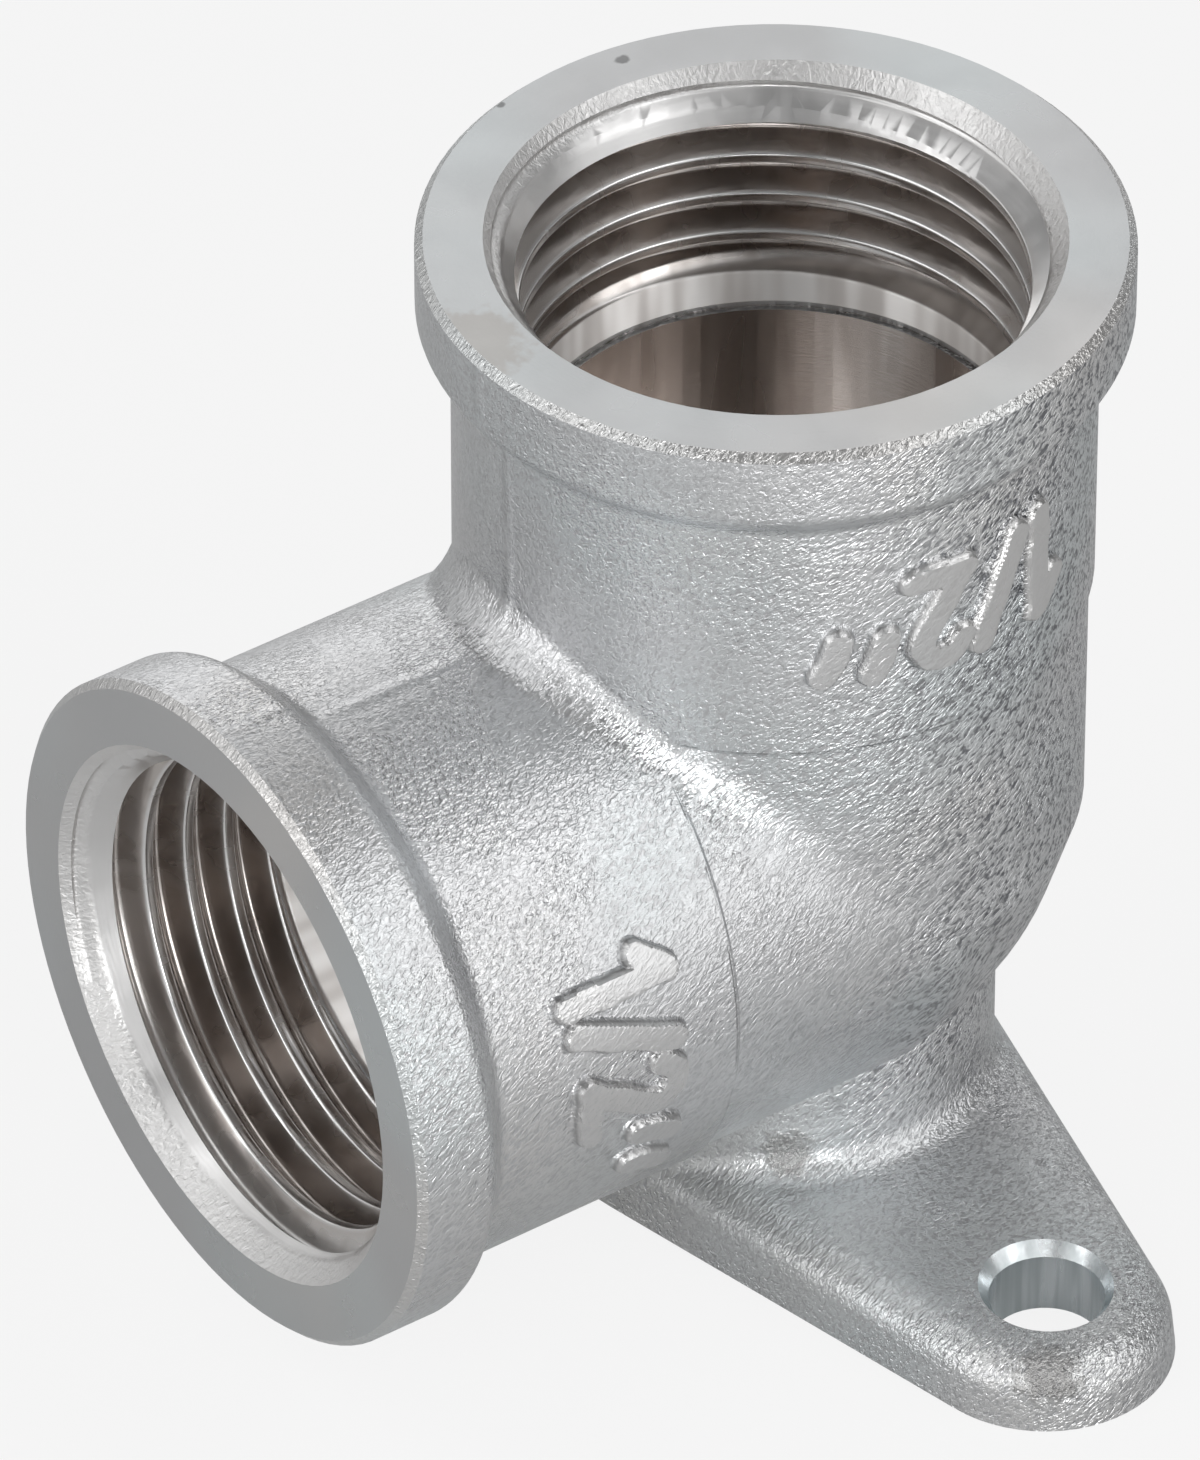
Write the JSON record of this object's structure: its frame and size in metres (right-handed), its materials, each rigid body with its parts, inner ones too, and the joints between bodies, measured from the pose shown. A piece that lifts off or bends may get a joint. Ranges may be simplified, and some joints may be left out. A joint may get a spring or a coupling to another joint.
{
  "type": "wall plate elbow",
  "caption": "Cast right-angle pipe elbow with two threaded mouths on a flat wall plate with two screw lugs, one outlet facing out of the wall.",
  "frame": {"origin": "on the wall face, on the outlet's axis", "axes": "+Z along the outlet's axis away from the wall, -Y along the inlet's axis out of its mouth, X across the two screw lugs"},
  "size_m": [0.0456, 0.0384, 0.0413],
  "materials": {
    "plated_brass": "matt nickel plating over a blasted casting, machined faces satin"
  },
  "bodies": {
    "root": {"elbow_body": "plated_brass"}
  },
  "joints": []
}
